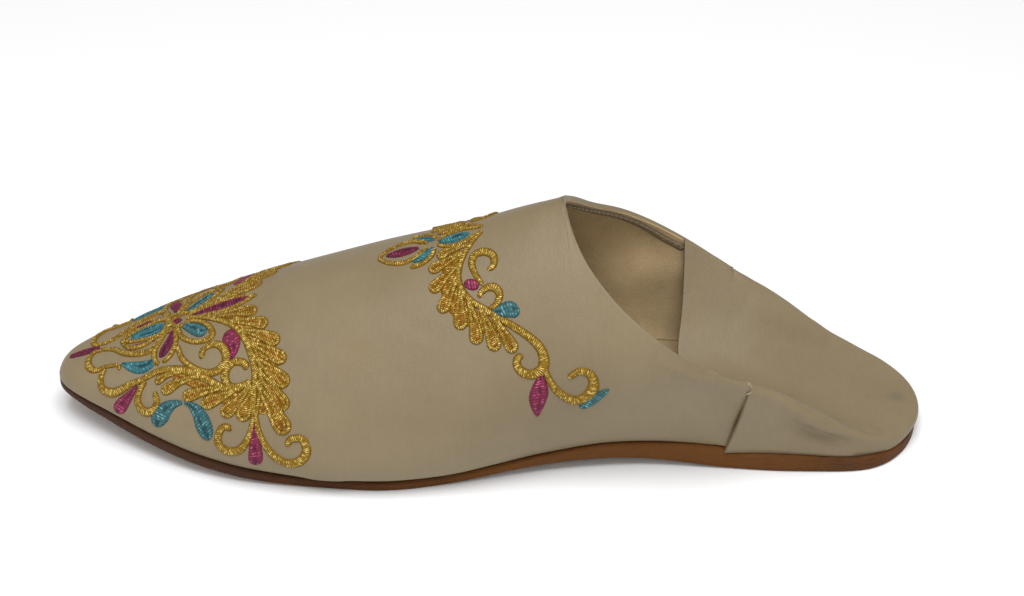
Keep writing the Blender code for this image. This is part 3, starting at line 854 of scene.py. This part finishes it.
# Each scroll has its pixels in the photograph, and its half-widths in pixels at its start, middle and end.
TOE_SCROLLS = [
    ([(103, 350.5), (94.5, 353), (88.5, 360), (89.5, 367.5), (96, 370.5), (106, 367),
      (120, 365)], (1.6, 2.9, 1.6)),
    ([(119, 365), (120.5, 371)], (1.6, 1.5, 1.2)),
    ([(101, 350), (113.5, 349.5), (125, 353.5), (139, 353.8), (153, 349.5), (160, 341), (166.5, 328.5),
      (171, 320.5)], (2.0, 3.1, 2.6)),
    ([(121.7, 341), (130, 342.2), (141, 340.4), (152, 338), (162, 333), (171, 322)], (1.5, 2.5, 2.0)),
    ([(121.7, 341), (130, 332.3), (139, 326), (152, 320.6), (165, 320.5)], (1.5, 2.5, 2.0)),
    ([(169, 328), (159.5, 341), (154.5, 353), (155.3, 361), (160, 365)], (1.5, 2.4, 1.8)),
    ([(174.5, 327), (176, 342), (171.5, 354), (162, 364)], (1.5, 2.4, 1.8)),
    ([(178, 328), (181.5, 336.5), (192, 341.5), (204, 340.8), (212, 336.2), (210, 327.5), (203, 322.5),
      (190, 320.9)], (1.8, 2.7, 1.8)),
    ([(177.6, 345.8), (182.3, 358.6), (193.5, 368), (207.8, 373), (219, 369.7), (226.2, 360.2),
      (223.8, 349), (215.8, 344.2), (206.3, 347.4), (202, 353), (203, 359)], (1.8, 3.6, 2.2)),
    ([(247.5, 369.5), (244, 363.3), (234, 362.2), (226.2, 369.7), (225.4, 379.3), (230.2, 386.5),
      (241.3, 386), (252.5, 380)], (2.6, 3.4, 2.2)),
    ([(190, 317.6), (203, 318), (219, 320.3), (233.4, 325.9), (244.5, 337.8), (251, 353.8),
      (254.6, 369.7), (254.6, 385.7), (254, 401.6), (253.6, 418)], (1.8, 2.8, 2.0)),
    ([(247, 338), (256, 352), (260, 366), (260.5, 384), (258.6, 402), (255.5, 421)], (1.5, 1.9, 1.5)),
    ([(139.3, 381), (148.9, 376.1), (161.6, 370.4), (177.6, 369.6), (193.5, 373.3), (209.5, 380.9),
      (225.4, 388.8), (238.2, 388.8), (252.5, 381)], (2.0, 3.5, 2.0)),
    ([(105, 369), (101, 378), (102.6, 388.8), (112.2, 392.8), (121.7, 389.6), (131.3, 384),
      (145.7, 379.3)], (2.0, 3.4, 2.2)),
    ([(145.7, 380.9), (139.3, 392), (138, 402.6), (144.4, 411.4), (152.4, 410.6), (157, 401.6),
      (153.6, 391)], (2.0, 3.4, 2.0)),
    ([(232.2, 428.7), (223.8, 427.1), (218.4, 435.1), (219.2, 444.6), (227, 451), (238.2, 450.4),
      (246.1, 442.4), (250.9, 430.3), (253.3, 416)], (2.2, 3.5, 1.8)),
    ([(255.7, 416), (259.5, 433.5), (266.8, 447.8), (277.4, 458.6), (289.2, 463.6), (300, 461),
      (306.6, 451), (301.6, 439.4), (290, 440), (287.4, 448)], (1.8, 3.7, 2.2)),
    ([(186, 319), (203, 315.8), (221, 311.6), (240, 304.4), (258, 293.5)], (1.8, 2.6, 1.8)),
    ([(166, 327.5), (170, 324), (177, 326.5), (186, 323.5), (196, 318.5)], (1.6, 2.2, 2.0)),
    ([(166, 320), (174, 315.6), (184, 313.4), (198, 312.4)], (1.6, 2.2, 1.8)),
]
# Each leaf has its base, middle and tip in the photograph, and its half-width in pixels.
TOE_LEAVES = [
    ([(206, 317.5), (234, 313), (257.5, 309.5)], 5.4),
    ([(227, 322), (250, 322), (268.5, 323.5)], 6.2),
    ([(238, 330), (260, 334.5), (280, 342)], 6.8),
    ([(246, 341), (267, 350), (286, 361.5)], 6.8),
    ([(251, 354), (269, 369), (288, 386)], 7.6),
    ([(254, 366), (270, 386), (286.4, 410)], 7.2),
    ([(255, 378), (270, 405), (287, 434)], 7.8),
    ([(252, 384), (238, 401), (222, 416)], 6.4),
    ([(254, 386), (248, 403), (240.6, 421)], 6.8),
    ([(238, 389), (222, 397), (201.5, 405.5)], 6.0),
    ([(226, 387), (205, 391), (182.5, 397.5)], 5.6),
    ([(200, 376), (180, 382), (161.5, 392.5)], 5.0),
    ([(183, 372), (168, 375), (155, 383)], 3.6),
]
# Low broad lines of the same form as the scrolls lie under the leaves.
TOE_GROUND = [
    ([(212, 317), (238, 321), (257, 336), (265, 356), (268, 378), (266, 400),
      (262, 415)], (4.0, 9.0, 5.0)),
    ([(172, 375), (192, 381), (213, 391), (236, 399), (250, 400)], (3.0, 6.0, 5.0)),
]
toe_gilt, toe_filling = Threads(), Threads()
for points, widths in TOE_GROUND:
    work(toe_filling, points, widths, GROUND_HEIGHT)
for points, half_width in TOE_LEAVES:
    leaf(toe_gilt, toe_filling, points, half_width)
for points, widths in TOE_SCROLLS:
    work(toe_gilt, points, widths, THREAD_HEIGHT)
toe_gilt.piece("embroidery_toe_gilt", gilt_thread)
toe_filling.piece("embroidery_toe_lobes", orange_thread)

# The instep has a smaller garland in the same gilt thread. It starts with an eye on the centre line and
# falls down each side as a plume that ends in two curls.
INSTEP_SCROLLS = [
    ([(378, 259), (389, 263.3), (404, 262.8), (416, 257), (423, 250)], (1.6, 2.4, 1.8)),
    ([(410, 268), (422.6, 263.5), (431.5, 256), (435, 248)], (2.2, 2.2, 1.8)),
    ([(410.5, 262), (419, 256), (428, 247)], (1.2, 1.8, 1.4)),
    ([(437, 245), (449, 246.5), (463, 242.5), (474, 236), (483, 230.5)], (1.6, 2.4, 1.6)),
    ([(482, 231), (472, 242.3), (464, 255), (459.3, 267.8), (458.5, 280.6), (464, 293.3), (473.6, 302.9),
      (484.8, 309.3), (502.3, 320.4)], (2.0, 2.4, 2.4)),
    ([(500, 318.5), (518.3, 329.5), (531, 338.6), (539.6, 347.5), (544, 359.5), (541.8, 369.4),
      (532.6, 374.4), (522.3, 372), (516.8, 364.5), (518.3, 357.4), (524, 354.8)], (2.4, 3.9, 2.2)),
    ([(483, 285), (475.4, 274), (471.8, 263), (475, 255), (484.8, 251.8), (493, 255.9), (493.8, 264.6),
      (488, 271)], (1.6, 3.5, 2.0)),
    ([(489.6, 309.3), (497.4, 302.9), (499.4, 293.3), (494, 287.4), (485.2, 288.9), (480.4, 295),
      (483, 298)], (2.0, 3.1, 1.8)),
    ([(544, 366), (550.2, 381.6), (561.3, 394.4), (575.7, 400.4), (587.6, 396), (593.6, 384.2),
      (590.4, 375.2), (580.5, 371.4), (568, 378)], (1.8, 4.4, 2.0)),
]
INSTEP_LEAVES = [
    ([(468, 245), (452, 250), (437, 257.5)], 4.4),
    ([(465, 252), (448, 261), (429, 271.5)], 5.2),
    ([(461, 262), (446, 276), (430.5, 292)], 5.6),
    ([(459, 274), (450, 293), (440.5, 313)], 5.8),
    ([(461, 287), (460, 308), (461, 330)], 6.4),
    ([(468, 298), (474, 320), (477.5, 344.5)], 6.2),
    ([(480, 306), (489, 328), (496.5, 351)], 6.2),
    ([(492, 314), (504, 333), (515, 352.5)], 5.8),
]
INSTEP_GROUND = [
    ([(460, 250), (450, 268), (449, 287), (457, 305), (472, 318), (492, 329), (508, 334)], (4.0, 7.5, 4.0)),
]
instep_gilt, instep_filling = Threads(), Threads()
for points, widths in INSTEP_GROUND:
    work(instep_filling, points, widths, GROUND_HEIGHT)
for points, half_width in INSTEP_LEAVES:
    leaf(instep_gilt, instep_filling, points, half_width)
for points, widths in INSTEP_SCROLLS:
    work(instep_gilt, points, widths, THREAD_HEIGHT)
instep_gilt.piece("embroidery_instep_gilt", gilt_thread)
instep_filling.piece("embroidery_instep_lobes", orange_thread)

# Petals and drops between the scrolls are filled with silk, magenta and teal, in two columns of satin
# stitches with a slit along the middle, darkened there with painted shade.
# Each silk has three colours: painted shade, its own colour, and a painted highlight.
MAGENTA_SHADED = (0.08, 0.006, 0.028)
MAGENTA = (0.172, 0.011, 0.042)
MAGENTA_HIGHLIGHT = (0.58, 0.12, 0.26)
WINE_SHADED = (0.035, 0.003, 0.014)
WINE = (0.115, 0.005, 0.029)
WINE_HIGHLIGHT = (0.36, 0.05, 0.14)
TEAL_SHADED = (0.012, 0.045, 0.055)
TEAL = (0.027, 0.107, 0.12)
TEAL_HIGHLIGHT = (0.2, 0.46, 0.48)
PETROL_SHADED = (0.008, 0.045, 0.06)
PETROL = (0.025, 0.133, 0.155)
PETROL_HIGHLIGHT = (0.12, 0.36, 0.4)
SILK_COLOURS = {
    "magenta": (MAGENTA_SHADED, MAGENTA, MAGENTA_HIGHLIGHT),
    "wine": (WINE_SHADED, WINE, WINE_HIGHLIGHT),
    "teal": (TEAL_SHADED, TEAL, TEAL_HIGHLIGHT),
    "petrol": (PETROL_SHADED, PETROL, PETROL_HIGHLIGHT),
}
SILK_HEIGHT = 0.65 * MM
SILK_PITCH = 0.9
# The strength of the painted shade in each petal's middle slit.
SILK_SLIT_SHADE = 0.55
SILK_SPLIT = 0.35
# Each petal has its pixels in the photograph, from end to end, with the half-width in pixels at each.
SILK = {
    "magenta": [
        [(230.2, 361, 1.0), (234.2, 351, 4.2), (233.4, 341, 7.6), (224, 333.5, 9.4)],
        [(137.5, 385.5, 1.0), (129, 396, 4.6), (121, 406, 7.0), (117.6, 413.5, 6.0)],
        [(254.5, 424, 1.0), (254.8, 440, 4.6), (255.5, 455, 7.0), (256, 465.5, 6.4)],
        [(463.5, 284.5, 3.5), (472, 284.6, 5.6), (480.5, 285, 3.5)],
        [(541, 373, 1.0), (539.6, 386, 6.8), (538.6, 396, 8.6), (538, 406, 6.2), (537.4, 417, 1.0)],
        [(126.5, 347.6, 0.7), (141, 344.6, 0.8), (156, 340.4, 0.7)],
    ],
    "wine": [
        [(174, 328, 1.2), (170.4, 339, 4.6), (165, 350, 5.6), (160.8, 359, 2.6)],
    ],
    "petrol": [
        [(131.5, 337, 1.6), (143, 331.8, 5.4), (155, 327, 5.0), (165, 324.5, 1.6)],
        [(121.7, 363.6, 1.2), (131, 366.6, 5.2), (141, 367.4, 7.0), (149, 364, 6.2), (154.4, 358.6, 2.4)],
        [(412.3, 262.5, 1.6), (420, 258.5, 4.4), (428, 252.5, 4.0), (434, 247.2, 1.4)],
    ],
    "teal": [
        [(182.5, 325, 3.0), (191, 327.5, 6.0), (200, 331, 7.0), (207, 333, 5.4)],
        [(157.2, 427, 7.0), (160, 417, 9.0), (166, 408.5, 7.0), (175, 403.6, 3.8), (184, 402.6, 1.2)],
        [(184, 402.6, 1.2), (191, 405.8, 3.6), (197.6, 413, 6.6), (202.6, 423, 8.6), (207, 433, 7.4),
         (210, 441, 3.2)],
        [(489.6, 312.8, 1.0), (499, 311.6, 5.0), (510, 309.6, 7.8), (520, 309.6, 7.0)],
        [(581, 408.4, 4.6), (592, 400, 5.6), (601, 394, 4.0), (609.5, 388.6, 1.0)],
    ],
}
# These petals lie on the centre line, so they have no mirror image.
CENTRE_SILK = {
    "wine": [
        [(69, 360, 3.0), (85, 354.8, 5.4), (101, 349.6, 3.0)],
        [(193, 312.5, 2.0), (210, 306.5, 8.5), (230, 299.5, 10.0), (250, 291.5, 3.4)],
        [(386, 257, 1.6), (396, 254.6, 6.4), (408, 251.6, 6.4), (420, 249, 1.6)],
        [(168, 322.6, 2.0), (176, 320, 4.6), (184, 316.6, 2.0)],
    ],
    "petrol": [
        [(438.6, 242, 1.6), (449, 240, 6.8), (460, 236, 6.8), (470, 232.6, 1.6)],
    ],
}
for name, tones in SILK_COLOURS.items():
    silk = stitches(name + " silk", *tones, metal=0.0, roughness=0.5, pitch=SILK_PITCH, slit=SILK_SLIT_SHADE)
    threads = Threads()
    for petal in SILK.get(name, []):
        path = [on_vamp(x, y, half) for x, y, half in petal]
        threads.band(path, SILK_HEIGHT, steps=12, split=SILK_SPLIT)
    for petal in CENTRE_SILK.get(name, []):
        path = [on_vamp(x, y, half, central=True) for x, y, half in petal]
        threads.band(path, SILK_HEIGHT, steps=12, split=SILK_SPLIT, mirrored=False)
    threads.piece("embroidery_" + name, silk)

# The slipper stands on a plain pale floor under soft studio light: one large panel above its near side, a
# small one low on that side, a weak one before the toe, and the even light of a pale room.
FLOOR_PALE = (0.92, 0.935, 0.965)
FLOOR_PALEST = (0.94, 0.955, 0.985)
ROOM_COLOUR = (1.0, 0.965, 0.9, 1.0)
ROOM_STRENGTH = 0.41
# Each panel has its place, the point that it faces, the length of its side and its power in watts.
PANELS = [
    ((0.34, 0.04, 1.28), (0.0, 0.0, 0.02), 0.9, 15.4),
    ((0.62, 0.0, 0.47), (0.0, 0.0, 0.03), 0.25, 0.6),
    ((0.35, -1.0, 0.6), (0.0, 0.0, 0.02), 0.4, 0.9),
]
bpy.ops.object.select_all(action="DESELECT")
bpy.ops.mesh.primitive_plane_add(size=8.0, location=(0.0, 0.0, 0.0))
floor = bpy.context.object
floor.name = "floor"
floor_finish, shader, spot = new_material("pale floor")
connect(shader, Base_Color=spot.noise(3.0, 1.0).blend(FLOOR_PALE, FLOOR_PALEST), Roughness=0.85)
floor.data.materials.append(floor_finish)

for place, target, size, power in PANELS:
    bpy.ops.object.light_add(type="AREA", location=place)
    light = bpy.context.object
    light.data.size = size
    light.data.energy = power
    light.rotation_euler = (Vector(target) - Vector(place)).to_track_quat("-Z", "Y").to_euler()
world = bpy.data.worlds.new("pale room")
world.use_nodes = True
room_light = world.node_tree.nodes["Background"]
room_light.inputs["Color"].default_value = ROOM_COLOUR
room_light.inputs["Strength"].default_value = ROOM_STRENGTH
bpy.context.scene.world = world
bpy.context.scene.view_settings.view_transform = "Standard"
